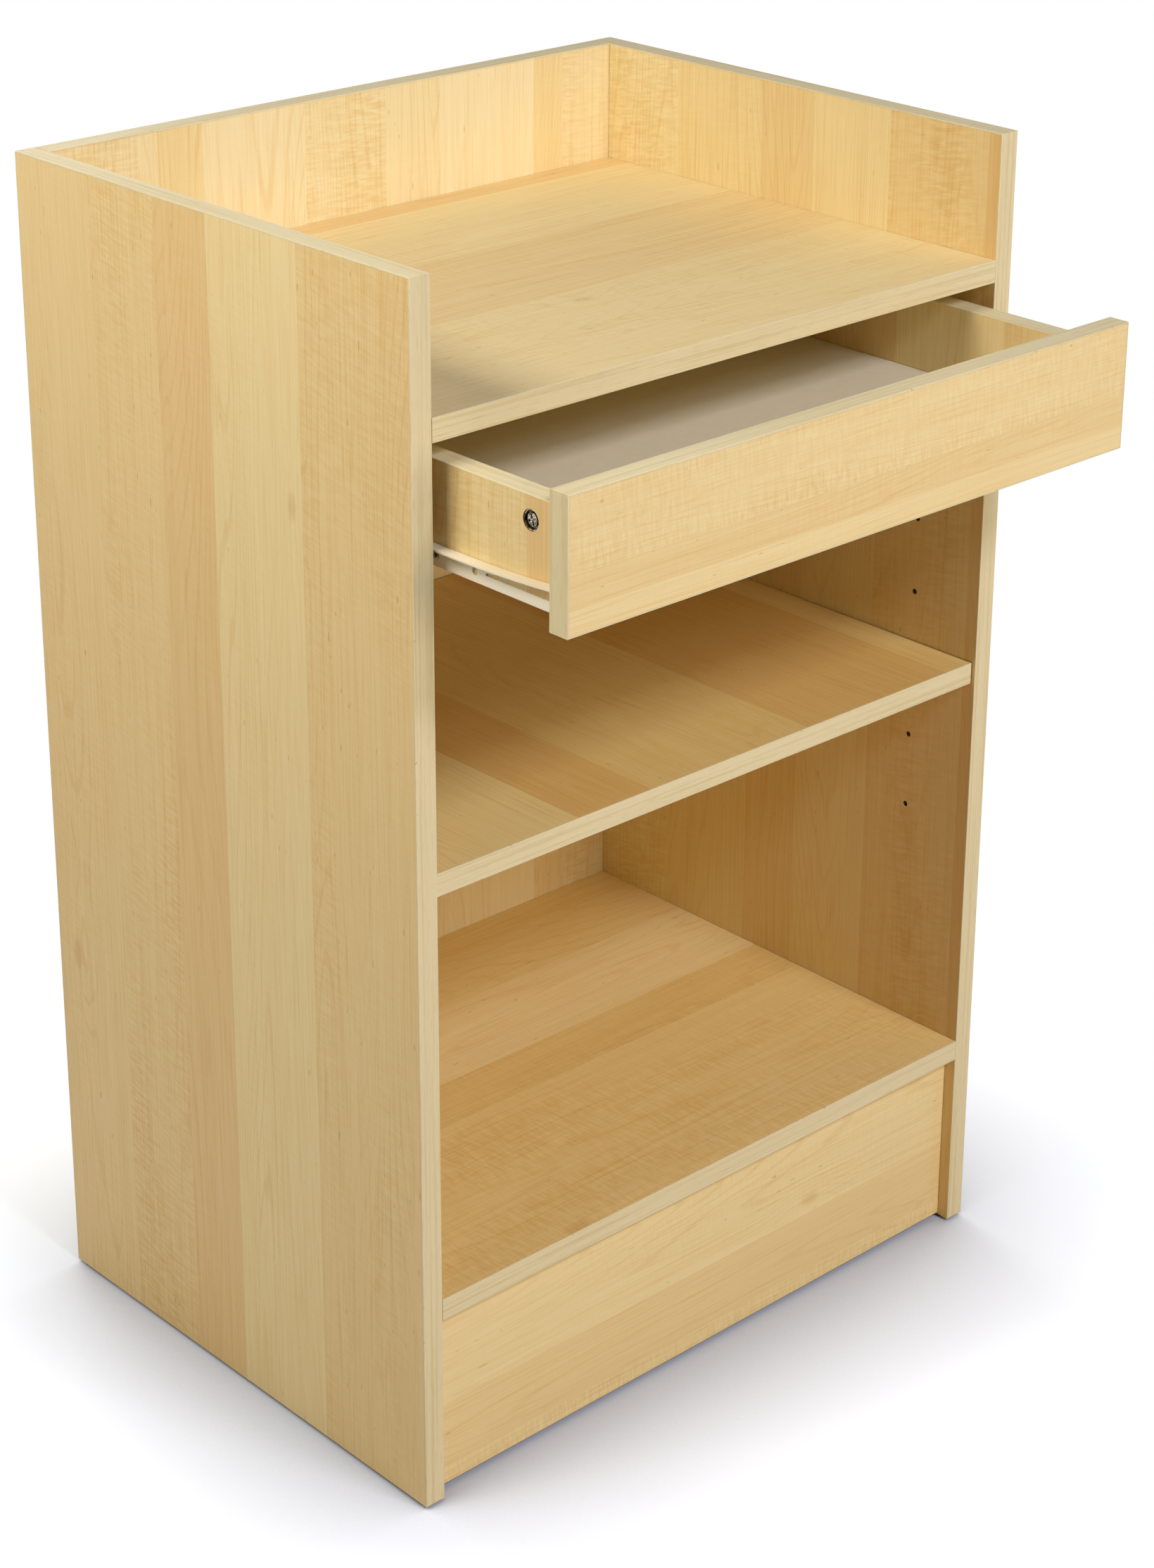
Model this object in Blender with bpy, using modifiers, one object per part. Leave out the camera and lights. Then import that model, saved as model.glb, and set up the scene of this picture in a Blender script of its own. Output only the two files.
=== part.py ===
"""A cash wrap counter: a laminated carcass whose sides and back rise as a rim round the counter top,
with a drawer on roller slides, a loose middle shelf on pins and a bottom shelf over a kick plate.

Metres, +Z up. The origin is on the floor, midway between the face of the open drawer and the back.
+Y runs from the clerk's open side to the back panel, and +X to the clerk's right.
"""

import math

import bmesh
import bpy
from mathutils import Matrix, Vector

# Carcass
CARCASS_WIDTH = 0.610
CARCASS_DEPTH = 0.457
CARCASS_HEIGHT = 0.965
BOARD = 0.018
EDGE_BAND = 0.001
BAND_ROUND = 0.0003
COUNTER_DROP = 0.100
BOTTOM_SHELF_TOP = 0.178
KICK_SETBACK = 0.011
KICK_FLOOR_GAP = 0.005

# Floor glides: a disc with a nail that is driven into the end of a side panel
GLIDE_HEIGHT = 0.003
GLIDE_DIAMETER = 0.014
GLIDE_CHAMFER = 0.0008
GLIDE_INSET = 0.020
NAIL_DIAMETER = 0.0024
NAIL_LENGTH = 0.012

# Middle shelf, and the pins and holes that carry it
SHELF_SETBACK = 0.0035
SHELF_END_GAP = 0.001
SHELF_REAR_GAP = 0.002
PIN_DIAMETER = 0.005
PIN_STUB = 0.009
PIN_SHANK = 0.008
PIN_ROWS = 5
PIN_ROW_USED = 2
PIN_PITCH = 0.064
PIN_LOWEST = 0.3768
PIN_INSET = 0.0685

# Wooden dowels, glued into the ends of the boards
DOWEL_DIAMETER = 0.008
DOWEL_REACH = 0.009
JOINT_INSET = 0.060
REAR_DOWEL_X = 0.150
BACK_DOWEL_SHARES = (0.115, 0.5, 0.83)
KICK_DOWEL_INSET = 0.040
DRAWER_FRONT_DOWEL_SHARE = 0.43
DRAWER_BACK_DOWEL_SHARES = (0.45, 0.79)

# Cam locks and their bolts
CAM_DIAMETER = 0.015
CAM_DEPTH = 0.013
CAM_BACKSET = 0.030
CAM_CROSS = 0.0085
CAM_CROSS_BAR = 0.0018
CAM_CROSS_DEPTH = 0.002
BOLT_HEAD = 0.007
BOLT_NECK = 0.006
BOLT_WAIST = 0.0036
BOLT_WAIST_LENGTH = 0.0045
BOLT_HEAD_BEFORE = 0.0015
BOLT_HEAD_AFTER = 0.002
BOLT_THREAD = 0.005
THREAD_LENGTH = 0.011

# Drawer
DRAWER_OPEN = 0.1325
DRAWER_TRAVEL = 0.300
FRONT_GAP = 0.0015
FRONT_HEIGHT = 0.100
SIDE_DROP = 0.0155
SIDE_RAISE = 0.0095
BOX_REAR_ROOM = 0.021
FLOOR_THICKNESS = 0.005
FLOOR_RAISE = 0.0115
GROOVE_DEPTH = 0.006
DRAWER_CAM_DROP = 0.0172

# Drawer slides
SLIDE_GAP = 0.0125
STEEL = 0.0012
RUN = 0.001
RAIL_HEIGHT = 0.0166
RAIL_SETBACK = 0.002
SUPPORT_FLANGE = 0.012
RAMP_LENGTH = 0.108
RAMP_RISE = 0.0045
RAMP_STEPS = 6
SLOT_START = 0.0735
SLOT_END = 0.008
SLOT_NOSE = 0.002
SLOT_SILL = 0.008
SLOT_LIP = 0.001
SPARE_HOLE_DIAMETER = 0.006
SPARE_HOLE_BEHIND_SLOT = 0.011
ROLLER_DIAMETER = 0.018
ROLLER_CHAMFER = 0.0006
ROLLER_INSET = 0.012
ROLLER_PLAY = 0.0007
AXLE_DIAMETER = 0.005
AXLE_HEAD_DIAMETER = 0.009
AXLE_HEAD = 0.0009

# Countersunk screws of the slides
SCREW_DIAMETER = 0.0035
SCREW_HEAD = 0.0066
SCREW_HEAD_DEPTH = 0.0019
SCREW_LENGTH = 0.012
SCREW_TIP = 0.003
SCREW_CROSS = 0.0038
SCREW_CROSS_BAR = 0.0008
SCREW_CROSS_DEPTH = 0.001
CROSS_TAPER = 0.7
CABINET_SCREW_INSETS = (0.045, 0.100)
DRAWER_SCREW_INSETS = (0.125, 0.080)

# Gaps, and what a cutter runs past the face that it enters
FIT = 0.0003
GLUE_LINE = 0.0001
OVERSHOOT = 0.002
WELD = 0.00001

# Sides of round pieces, and the angle up to which faces shade as one
ROUND = 24
SMALL_ROUND = 12
SMALLEST_ROUND = 10
SMOOTH_ANGLE = 40

# Levels and faces that follow from the sizes above
INNER = CARCASS_WIDTH / 2 - BOARD
FRONT_Y = (DRAWER_OPEN - CARCASS_DEPTH) / 2
BACK_Y = FRONT_Y + CARCASS_DEPTH
BACK_INNER_Y = BACK_Y - BOARD
BAND_DEPTH = EDGE_BAND + GLUE_LINE
COUNTER_TOP = CARCASS_HEIGHT - COUNTER_DROP
COUNTER_UNDER = COUNTER_TOP - BOARD
BOTTOM_UNDER = BOTTOM_SHELF_TOP - BOARD
PIN_HEIGHT = PIN_LOWEST + PIN_ROW_USED * PIN_PITCH
SHELF_UNDER = PIN_HEIGHT + PIN_DIAMETER / 2 + FIT
PIN_COLUMNS = {"front": FRONT_Y + PIN_INSET, "rear": BACK_INNER_Y - PIN_INSET}
JOINT_COLUMNS = {"front": FRONT_Y + JOINT_INSET, "rear": BACK_INNER_Y - JOINT_INSET}
BACK_DOWEL_HEIGHTS = [share * CARCASS_HEIGHT for share in BACK_DOWEL_SHARES]
KICK_TOP = BOTTOM_UNDER - FIT
KICK_DOWEL_HEIGHTS = (KICK_FLOOR_GAP + KICK_DOWEL_INSET, KICK_TOP - KICK_DOWEL_INSET)
DRAWER_Y = FRONT_Y - DRAWER_OPEN
BOX_FRONT_Y = DRAWER_Y + BOARD
BOX_DEPTH = CARCASS_DEPTH - 2 * BOARD - BOX_REAR_ROOM
BOX_REAR_Y = BOX_FRONT_Y + BOX_DEPTH
BOX_OUTER = INNER - SLIDE_GAP
BOX_INNER = BOX_OUTER - BOARD
FRONT_TOP = COUNTER_UNDER - FRONT_GAP
SIDE_TOP = FRONT_TOP - SIDE_DROP
SIDE_BOTTOM = FRONT_TOP - FRONT_HEIGHT + SIDE_RAISE
SIDE_HEIGHT = SIDE_TOP - SIDE_BOTTOM
FLOOR_TOP = SIDE_BOTTOM + FLOOR_RAISE + FLOOR_THICKNESS
RAIL_BOTTOM = SIDE_BOTTOM - FIT - STEEL
RAIL_TOP = RAIL_BOTTOM + RAIL_HEIGHT
ROLLER = ROLLER_DIAMETER / 2

# The slide across its gap, as distances from the side panel's inner face
CABINET_WEB = FIT + STEEL
DRAWER_WEB = SLIDE_GAP - FIT - STEEL
ROLLER_WIDTH = DRAWER_WEB - CABINET_WEB - 2 * FIT - AXLE_HEAD - RUN

# The slide's rollers: the drawer runs on the front one, and its rear one runs in the cabinet rail
CABINET_RAIL_Y = FRONT_Y + BOARD + RAIL_SETBACK
CABINET_ROLLER_Y = CABINET_RAIL_Y + ROLLER_INSET
CABINET_ROLLER_Z = RAIL_TOP - STEEL - FIT - ROLLER
DRAWER_ROLLER_Y = BOX_REAR_Y - ROLLER_INSET
DRAWER_ROLLER_Z = RAIL_TOP + RUN - ROLLER
TRACK_TOP = DRAWER_ROLLER_Z - ROLLER - FIT
TRACK_ROOF = DRAWER_ROLLER_Z + ROLLER + ROLLER_PLAY

X, Y, Z = Vector((1, 0, 0)), Vector((0, 1, 0)), Vector((0, 0, 1))
SIDES = {"left": -1, "right": 1}


def clear_scene():
    for old in list(bpy.data.objects):
        bpy.data.objects.remove(old)


def new_collection(name):
    made = bpy.data.collections.new(name)
    bpy.context.scene.collection.children.link(made)
    return made


def new_material(name, colour, roughness, metallic=0.0):
    made = bpy.data.materials.new(name)
    made.use_nodes = True
    shader = made.node_tree.nodes["Principled BSDF"]
    shader.inputs["Base Color"].default_value = (*colour, 1.0)
    shader.inputs["Roughness"].default_value = roughness
    shader.inputs["Metallic"].default_value = metallic
    return made


clear_scene()
PARTS = new_collection("cash_wrap_counter")
CUTTERS = new_collection("cutters")
LAMINATE = new_material("maple laminate", (0.70, 0.49, 0.23), 0.45)
BANDING = new_material("maple edge band", (0.73, 0.58, 0.34), 0.5)
LINER = new_material("drawer floor board", (0.66, 0.61, 0.53), 0.6)
COATED_STEEL = new_material("cream coated steel", (0.78, 0.73, 0.60), 0.4)
NYLON = new_material("nylon", (0.85, 0.84, 0.80), 0.5)
ZINC = new_material("zinc", (0.55, 0.54, 0.50), 0.3, 1.0)
GLIDE_PLASTIC = new_material("glide plastic", (0.05, 0.045, 0.04), 0.6)


# Modelling helpers


def linked(name, mesh, collection):
    made = bpy.data.objects.new(name, mesh)
    collection.objects.link(made)
    return made


def mesh_of(name, bm):
    mesh = bpy.data.meshes.new(name)
    bm.to_mesh(mesh)
    bm.free()
    return mesh


def finished(made, material):
    made.data.materials.append(material)
    made.data.shade_smooth()
    made.data.set_sharp_from_angle(angle=math.radians(SMOOTH_ANGLE))
    return made


def box(name, low, high, collection=PARTS):
    """A box between two corners."""
    low, high = Vector(low), Vector(high)
    bm = bmesh.new()
    bmesh.ops.create_cube(bm, size=1.0)
    bmesh.ops.scale(bm, vec=high - low, verts=bm.verts)
    made = linked(name, mesh_of(name, bm), collection)
    made.location = (low + high) / 2
    return made


def rods(name, runs, diameter, steps, collection=CUTTERS):
    """Separate round rods in one mesh, each from a start to an end."""
    bm = bmesh.new()
    for start, end in runs:
        along = end - start
        place = Matrix.Translation((start + end) / 2) @ along.to_track_quat("Z", "Y").to_matrix().to_4x4()
        bmesh.ops.create_cone(
            bm,
            cap_ends=True,
            segments=steps,
            radius1=diameter / 2,
            radius2=diameter / 2,
            depth=along.length,
            matrix=place,
        )
    return linked(name, mesh_of(name, bm), collection)


def plate(name, outlines, thickness, across, up, offset, collection=PARTS):
    """A flat plate from outlines along two directions: the first is its rim, the others are holes."""
    curve = bpy.data.curves.new(name, "CURVE")
    curve.dimensions = "2D"
    curve.fill_mode = "BOTH"
    curve.extrude = thickness / 2
    for outline in outlines:
        spline = curve.splines.new("POLY")
        spline.points.add(len(outline) - 1)
        spline.use_cyclic_u = True
        for point, place in zip(spline.points, outline):
            point.co = (*place, 0.0, 1.0)
    flat = linked(name + "_outline", curve, CUTTERS)
    bm = bmesh.new()
    bm.from_mesh(baked(flat))
    bmesh.ops.remove_doubles(bm, verts=bm.verts, dist=WELD)
    bmesh.ops.recalc_face_normals(bm, faces=bm.faces)
    made = linked(name, mesh_of(name, bm), collection)
    placing = Matrix((across, up, across.cross(up))).transposed().to_4x4()
    placing.translation = offset
    made.matrix_world = placing
    return made


def turned(name, profile, steps, closed=False):
    """A turned shape about its own Z: the profile of (radius, height) runs down its outer side."""
    bm = bmesh.new()
    points = [bm.verts.new((radius, 0.0, height)) for radius, height in profile]
    for one, other in zip(points, points[1:]):
        bm.edges.new((one, other))
    if closed:
        bm.edges.new((points[-1], points[0]))
    made = linked(name, mesh_of(name, bm), CUTTERS)
    screw = made.modifiers.new("turn", "SCREW")
    screw.steps = steps
    screw.render_steps = steps
    screw.use_merge_vertices = True
    screw.merge_threshold = WELD
    return made


def baked(source, *helpers):
    """The mesh of an object with its modifiers in it. The object and its helpers are removed."""
    graph = bpy.context.evaluated_depsgraph_get()
    mesh = bpy.data.meshes.new_from_object(source.evaluated_get(graph))
    for old in (source, *helpers):
        bpy.data.objects.remove(old)
    return mesh


def combine(target, helper, operation):
    boolean = target.modifiers.new(helper.name, "BOOLEAN")
    boolean.operation = operation
    boolean.solver = "EXACT"
    boolean.object = helper
    helper.hide_render = True
    helper.display_type = "WIRE"


def cut(target, helper):
    combine(target, helper, "DIFFERENCE")


def join(target, helper):
    combine(target, helper, "UNION")


def drill(target, label, mouths, into, diameter, depth, steps=SMALL_ROUND):
    """Blind holes from their mouths, all along one direction."""
    runs = [(mouth - into * OVERSHOOT, mouth + into * depth) for mouth in mouths]
    cut(target, rods(f"{target.name}_{label}_holes", runs, diameter, steps))


def dowel_joint(owner, receiver, label, mouths, into):
    """Dowels glued into the owner's end, in blind holes of the receiver."""
    runs = [(mouth - into * (FIT + DOWEL_REACH), mouth + into * DOWEL_REACH) for mouth in mouths]
    join(owner, rods(f"{owner.name}_{label}_dowels", runs, DOWEL_DIAMETER, SMALL_ROUND))
    drill(receiver, label, mouths, into, DOWEL_DIAMETER + 2 * FIT, DOWEL_REACH + FIT)


def placed(name, mesh, origin, up, across, material):
    """A copy of a fastener's mesh, its own Z along up and its own X along across."""
    made = linked(name, mesh, PARTS)
    if not mesh.materials:
        finished(made, material)
    turn = Matrix((across, up.cross(across), up)).transposed().to_4x4()
    made.matrix_world = Matrix.Translation(origin) @ turn
    return made


def cross_cutter(name, span, bar, depth):
    """A cross-shaped cutter for a driver's recess in a face at height 0, its arms tapering outwards."""
    half, rib = span / 2, bar / 2
    tip = CROSS_TAPER * rib
    arm = [(half, -tip), (half, tip), (rib, rib)]
    outline = []
    for turn in range(4):
        angle = turn * math.pi / 2
        outline += [
            (across * math.cos(angle) - up * math.sin(angle), across * math.sin(angle) + up * math.cos(angle))
            for across, up in arm
        ]
    height = depth + OVERSHOOT
    return plate(name, [outline], height, X, Y, Z * (height / 2 - depth), CUTTERS)


def circle(centre_across, centre_up, diameter, steps):
    angles = [2 * math.pi * step / steps for step in range(steps)]
    return [
        (centre_across + diameter / 2 * math.cos(angle), centre_up + diameter / 2 * math.sin(angle))
        for angle in angles
    ]


def at(side, inward):
    """X at a distance inward from a side panel's inner face."""
    return side * (INNER - inward)


def across_slide(name, side, inward, y_range, z_range, collection=PARTS):
    """A box across the slide's gap, between two distances inward from the side panel."""
    low, high = sorted((at(side, inward[0]), at(side, inward[1])))
    return box(name, (low, y_range[0], z_range[0]), (high, y_range[1], z_range[1]), collection)


# Fastener meshes


def cam_mesh():
    """A cam lock: its face at height 0, open below its face for the bolt that comes from +X."""
    body = rods("cam_body", [(Z * -CAM_DEPTH, Z * 0)], CAM_DIAMETER, ROUND)
    reach = BOLT_HEAD / 2 + FIT
    mouth = box(
        "cam_mouth",
        (-reach, -reach, -CAM_DEPTH - OVERSHOOT),
        (CAM_DIAMETER, reach, reach - BOARD / 2),
        CUTTERS,
    )
    recess = cross_cutter("cam_cross", CAM_CROSS, CAM_CROSS_BAR, CAM_CROSS_DEPTH)
    cut(body, mouth)
    cut(body, recess)
    return baked(body, mouth, recess)


def bolt_mesh():
    """A cam bolt: its thread below height 0, its head at the cam's middle."""
    waist_top = CAM_BACKSET - BOLT_HEAD_BEFORE
    waist_bottom = waist_top - BOLT_WAIST_LENGTH
    profile = [
        (0, CAM_BACKSET + BOLT_HEAD_AFTER),
        (BOLT_HEAD / 2, CAM_BACKSET + BOLT_HEAD_AFTER),
        (BOLT_HEAD / 2, waist_top),
        (BOLT_WAIST / 2, waist_top),
        (BOLT_WAIST / 2, waist_bottom),
        (BOLT_NECK / 2, waist_bottom),
        (BOLT_NECK / 2, FIT),
        (BOLT_THREAD / 2, FIT),
        (BOLT_THREAD / 2, -THREAD_LENGTH),
        (0, -THREAD_LENGTH),
    ]
    return baked(turned("cam_bolt", profile, SMALLEST_ROUND))


def screw_shape(name, grow, lead):
    """A countersunk screw below height 0, grown all round and led past its head for a cutter."""
    top = [(0, lead), (SCREW_HEAD / 2 + grow, lead)] if lead else [(0, 0)]
    profile = top + [
        (SCREW_HEAD / 2 + grow, 0),
        (SCREW_DIAMETER / 2 + grow, -SCREW_HEAD_DEPTH),
        (SCREW_DIAMETER / 2 + grow, SCREW_TIP - SCREW_LENGTH - grow),
        (0, -SCREW_LENGTH - grow),
    ]
    return turned(name, profile, SMALLEST_ROUND)


def screw_mesh():
    body = screw_shape("screw", 0, 0)
    recess = cross_cutter("screw_cross", SCREW_CROSS, SCREW_CROSS_BAR, SCREW_CROSS_DEPTH)
    cut(body, recess)
    return baked(body, recess)


def pin_mesh():
    """A shelf pin: its shank below height 0 in the panel, its stub above."""
    shank = PIN_DIAMETER / 2 - FIT
    profile = [
        (0, PIN_STUB),
        (PIN_DIAMETER / 2, PIN_STUB),
        (PIN_DIAMETER / 2, FIT),
        (shank, FIT),
        (shank, -PIN_SHANK),
        (0, -PIN_SHANK),
    ]
    return baked(turned("shelf_pin", profile, SMALLEST_ROUND))


def glide_mesh():
    """A floor glide: its disc on the floor at height 0, its nail up in the panel."""
    top = GLIDE_HEIGHT - FIT
    profile = [
        (0, GLIDE_HEIGHT + NAIL_LENGTH),
        (NAIL_DIAMETER / 2, GLIDE_HEIGHT + NAIL_LENGTH),
        (NAIL_DIAMETER / 2, top),
        (GLIDE_DIAMETER / 2, top),
        (GLIDE_DIAMETER / 2, GLIDE_CHAMFER),
        (GLIDE_DIAMETER / 2 - GLIDE_CHAMFER, 0),
        (0, 0),
    ]
    return baked(turned("floor_glide", profile, SMALL_ROUND))


def roller_mesh():
    """A slide roller about its own axle, from height 0."""
    bore = AXLE_DIAMETER / 2 + FIT
    profile = [
        (bore, ROLLER_WIDTH),
        (ROLLER - ROLLER_CHAMFER, ROLLER_WIDTH),
        (ROLLER, ROLLER_WIDTH - ROLLER_CHAMFER),
        (ROLLER, ROLLER_CHAMFER),
        (ROLLER - ROLLER_CHAMFER, 0),
        (bore, 0),
    ]
    return baked(turned("slide_roller", profile, ROUND, closed=True))


def axle_mesh():
    """A roller's axle from the back of the rail's web at height 0 to the head that keeps the roller on."""
    shoulder = STEEL + FIT + ROLLER_WIDTH + FIT
    profile = [
        (0, shoulder + AXLE_HEAD),
        (AXLE_HEAD_DIAMETER / 2, shoulder + AXLE_HEAD),
        (AXLE_HEAD_DIAMETER / 2, shoulder),
        (AXLE_DIAMETER / 2, shoulder),
        (AXLE_DIAMETER / 2, 0),
        (0, 0),
    ]
    return baked(turned("roller_axle", profile, SMALL_ROUND))


# Carcass


def edge_band(name, low, high, core=None):
    """An edge band with rounded edges: a strip, or a hoop round the core that is cut out of it."""
    band = box(name, low, high)
    bevel = band.modifiers.new("rounded edges", "BEVEL")
    bevel.width = BAND_ROUND
    bevel.segments = 1
    if core:
        cut(band, box(f"{name}_core", *core, CUTTERS))
    return finished(band, BANDING)


def banded_board(name, low, high):
    """A board that runs across between the side panels, with an edge band along its front edge."""
    low, high = Vector(low), Vector(high)
    board = finished(box(name, low + Y * BAND_DEPTH, high), LAMINATE)
    return board, edge_band(f"{name}_edge_band", low, (high.x, low.y + EDGE_BAND, high.z))


def side_panel(word, side):
    """A side panel with its columns of pin holes, banded along its front, top and rear edges."""
    low, high = sorted((side * INNER, side * CARCASS_WIDTH / 2))
    panel = box(
        f"{word}_side_panel",
        (low, FRONT_Y + BAND_DEPTH, GLIDE_HEIGHT),
        (high, BACK_Y - BAND_DEPTH, CARCASS_HEIGHT - BAND_DEPTH),
    )
    core = (
        (low - OVERSHOOT, FRONT_Y + EDGE_BAND, GLIDE_HEIGHT - OVERSHOOT),
        (high + OVERSHOOT, BACK_Y - EDGE_BAND, CARCASS_HEIGHT - EDGE_BAND),
    )
    band_corners = (low, FRONT_Y, GLIDE_HEIGHT), (high, BACK_Y, CARCASS_HEIGHT)
    edge_band(f"{word}_side_edge_band", *band_corners, core)
    heights = [PIN_LOWEST + row * PIN_PITCH for row in range(PIN_ROWS)]
    mouths = [Vector((side * INNER, y, z)) for y in PIN_COLUMNS.values() for z in heights]
    drill(panel, "pin", mouths, X * side, PIN_DIAMETER, PIN_SHANK + FIT, SMALLEST_ROUND)
    return finished(panel, LAMINATE)


def floor_glides(word, side, panel):
    mesh = glide_mesh()
    middle = side * (CARCASS_WIDTH - BOARD) / 2
    places = {"front": FRONT_Y + GLIDE_INSET, "rear": BACK_Y - GLIDE_INSET}
    for end, y in places.items():
        placed(f"floor_glide_{word}_{end}", mesh, Vector((middle, y, 0)), Z, X, GLIDE_PLASTIC)
    mouths = [Vector((middle, y, GLIDE_HEIGHT)) for y in places.values()]
    drill(panel, "nail", mouths, Z, NAIL_DIAMETER + 2 * FIT, NAIL_LENGTH + FIT, SMALLEST_ROUND)


def shelf_pins(word, side):
    mesh = pin_mesh()
    for end, y in PIN_COLUMNS.items():
        place = Vector((side * INNER, y, PIN_HEIGHT))
        placed(f"shelf_pin_{word}_{end}", mesh, place, X * -side, Z, ZINC)


def cam_joint(name, board, receiver, mouth, along, face):
    """A cam lock in a board's face, and its bolt from the receiver's face along into the board."""
    bolt = placed(f"{name}_cam_bolt", bolt_mesh(), mouth, along, face, ZINC)
    seat = mouth + along * CAM_BACKSET + face * BOARD / 2
    cam = placed(f"{name}_cam_lock", cam_mesh(), seat, face, -along, ZINC)
    thread = BOLT_THREAD + 2 * FIT
    drill(receiver, f"{name}_bolt", [mouth], -along, thread, THREAD_LENGTH + FIT, SMALLEST_ROUND)
    drill(board, f"{name}_bolt", [mouth], along, BOLT_HEAD + 2 * FIT, CAM_BACKSET)
    drill(board, f"{name}_cam", [seat], -face, CAM_DIAMETER + 2 * FIT, CAM_DEPTH + FIT, ROUND)
    return cam, bolt


def carcass():
    panels = {word: side_panel(word, side) for word, side in SIDES.items()}
    end = INNER - FIT

    back = finished(
        box(
            "back_panel",
            (-end, BACK_INNER_Y, GLIDE_HEIGHT),
            (end, BACK_Y, CARCASS_HEIGHT - BAND_DEPTH),
        ),
        LAMINATE,
    )
    edge_band(
        "back_panel_edge_band",
        (-end, BACK_INNER_Y, CARCASS_HEIGHT - EDGE_BAND),
        (end, BACK_Y, CARCASS_HEIGHT),
    )

    rear = BACK_INNER_Y - FIT
    counter, _ = banded_board("counter_top", (-end, FRONT_Y, COUNTER_UNDER), (end, rear, COUNTER_TOP))
    bottom, _ = banded_board(
        "bottom_shelf", (-end, FRONT_Y, BOTTOM_UNDER), (end, rear, BOTTOM_SHELF_TOP)
    )
    kick_y = FRONT_Y + KICK_SETBACK
    kick = finished(
        box("kick_plate", (-end, kick_y, KICK_FLOOR_GAP), (end, kick_y + BOARD, KICK_TOP)),
        LAMINATE,
    )

    counter_middle = COUNTER_UNDER + BOARD / 2
    bottom_middle = BOTTOM_UNDER + BOARD / 2
    for label, board, height in (("counter", counter, counter_middle), ("bottom", bottom, bottom_middle)):
        mouths = [Vector((x, BACK_INNER_Y, height)) for x in (-REAR_DOWEL_X, REAR_DOWEL_X)]
        dowel_joint(board, back, f"{label}_rear", mouths, Y)

    for word, side in SIDES.items():
        panel, face, into = panels[word], side * INNER, X * side
        mouths = [Vector((face, y, bottom_middle)) for y in JOINT_COLUMNS.values()]
        dowel_joint(bottom, panel, f"{word}_bottom", mouths, into)
        mouths = [Vector((face, kick_y + BOARD / 2, z)) for z in KICK_DOWEL_HEIGHTS]
        dowel_joint(kick, panel, f"{word}_kick", mouths, into)
        mouths = [Vector((face, BACK_Y - BOARD / 2, z)) for z in BACK_DOWEL_HEIGHTS]
        dowel_joint(back, panel, f"{word}_back", mouths, into)
        for place, y in JOINT_COLUMNS.items():
            mouth = Vector((face, y, counter_middle))
            cam_joint(f"counter_{word}_{place}", counter, panel, mouth, -into, -Z)
        floor_glides(word, side, panel)
        shelf_pins(word, side)
    return panels


def middle_shelf():
    end = INNER - SHELF_END_GAP
    shelf, band = banded_board(
        "middle_shelf",
        (-end, FRONT_Y + SHELF_SETBACK, SHELF_UNDER),
        (end, BACK_INNER_Y - SHELF_REAR_GAP, SHELF_UNDER + BOARD),
    )
    band.parent = shelf
    band.matrix_parent_inverse = Matrix.Translation(-shelf.location)


# Drawer and slides


def drawer_front():
    """The drawer front, banded all round."""
    half = INNER - FRONT_GAP
    bottom = FRONT_TOP - FRONT_HEIGHT
    front = box(
        "drawer_front",
        (BAND_DEPTH - half, DRAWER_Y, bottom + BAND_DEPTH),
        (half - BAND_DEPTH, BOX_FRONT_Y, FRONT_TOP - BAND_DEPTH),
    )
    core = (
        (EDGE_BAND - half, DRAWER_Y - OVERSHOOT, bottom + EDGE_BAND),
        (half - EDGE_BAND, BOX_FRONT_Y + OVERSHOOT, FRONT_TOP - EDGE_BAND),
    )
    band_corners = (-half, DRAWER_Y, bottom), (half, BOX_FRONT_Y, FRONT_TOP)
    return finished(front, LAMINATE), edge_band("drawer_front_edge_band", *band_corners, core)


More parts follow.
